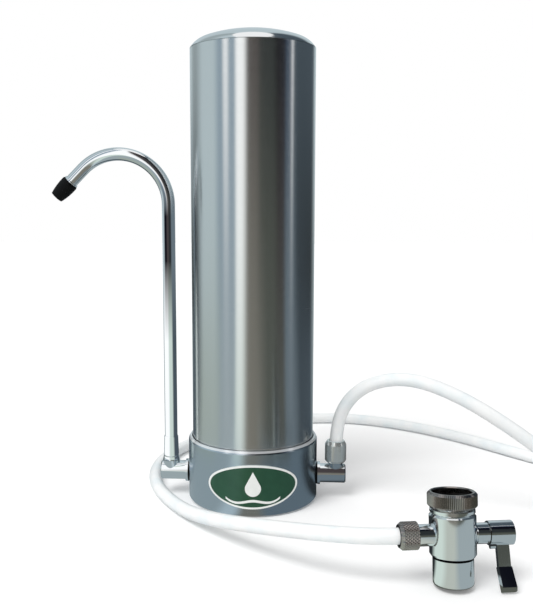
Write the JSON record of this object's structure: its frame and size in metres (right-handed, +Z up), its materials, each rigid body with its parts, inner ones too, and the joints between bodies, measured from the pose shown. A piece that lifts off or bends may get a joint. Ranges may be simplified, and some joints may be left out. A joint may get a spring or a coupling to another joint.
{
  "type": "countertop water filter",
  "caption": "Cylindrical steel countertop water filter with a lift-off domed housing, swivelling gooseneck spout, and a hose to a lever-operated faucet diverter valve.",
  "frame": {"origin": "centre of the foot pad's underside, on the counter", "axes": "+Z up along the housing, +X to the hose inlet, -Y to the badge"},
  "size_m": [0.4105, 0.3676, 0.3378],
  "materials": {
    "brushed_housing": "fine brushed",
    "polished_dome": "polished",
    "satin_base": "satin",
    "plain_steel": "plain",
    "chrome_fitting": "polished plate",
    "brass_inner": "turned",
    "black_rubber": "matte",
    "milky_hose": "milky, slightly glossy",
    "white_plastic": "moulded",
    "carbon_block": "pressed carbon",
    "fleece": "felted",
    "dark_plastic": "moulded",
    "green_enamel": "glossy enamel",
    "white_enamel": "glossy enamel"
  },
  "bodies": {
    "base": {"base_body": "satin_base", "bottom_plate": "plain_steel", "plate_screw_1": "plain_steel", "plate_screw_2": "plain_steel", "plate_screw_3": "plain_steel", "swivel_clip": "plain_steel", "inlet_elbow": "chrome_fitting", "inlet_nut": "chrome_fitting", "outlet_elbow": "chrome_fitting", "diverter_body": "chrome_fitting", "outlet_collar": "chrome_fitting", "diverter_hose_nut": "chrome_fitting", "spindle_gland": "chrome_fitting", "inlet_ferrule": "brass_inner", "diverter_ferrule": "brass_inner", "foot_pad": "black_rubber", "housing_o_ring": "black_rubber", "cartridge_gasket": "black_rubber", "inlet_gasket": "black_rubber", "outlet_gasket": "black_rubber", "faucet_washer": "black_rubber", "feed_hose": "milky_hose", "outlet_spigot": "white_plastic", "cartridge_lower_cap": "white_plastic", "cartridge_upper_cap": "white_plastic", "cartridge_knob": "white_plastic", "cartridge_core": "white_plastic", "cartridge_media": "carbon_block", "cartridge_wrap": "fleece", "aerator_disc": "dark_plastic", "badge_plate": "green_enamel", "badge_frame": "white_enamel", "badge_drop": "white_enamel", "badge_ripple": "white_enamel"},
    "housing": {"housing_sleeve": "brushed_housing", "housing_dome": "polished_dome", "thread_collar": "plain_steel"},
    "spout": {"spout_tube": "chrome_fitting", "spout_sleeve": "chrome_fitting", "spout_bead": "chrome_fitting", "spout_tip": "black_rubber", "spout_o_ring_1": "black_rubber", "spout_o_ring_2": "black_rubber"},
    "faucet_nut": {"swivel_nut": "chrome_fitting"},
    "lever": {"spindle": "brass_inner", "spindle_o_ring_1": "black_rubber", "spindle_o_ring_2": "black_rubber", "diverter_lever": "chrome_fitting", "lever_screw": "plain_steel"}
  },
  "joints": [
    {"name": "housing_lift", "type": "slide", "parent": "base", "child": "housing", "axis": [0, 0, 1], "range_m": [0, 0.29]},
    {"name": "spout_swivel", "type": "hinge", "parent": "base", "child": "spout", "pos_m": [-0.0615, 0, 0.035], "axis": [0, 0, 1], "range_deg": [-110, 110]},
    {"name": "swivel_nut_spin", "type": "hinge", "parent": "base", "child": "faucet_nut", "pos_m": [0.12354, -0.13629, 0.04983], "axis": [-0.0218, 0.1375, 0.9903], "continuous": true},
    {"name": "diverter_turn", "type": "hinge", "parent": "base", "child": "lever", "pos_m": [0.12398, -0.13907, 0.02982], "axis": [-0.9877, -0.1564, 0], "range_deg": [0, 90]}
  ]
}
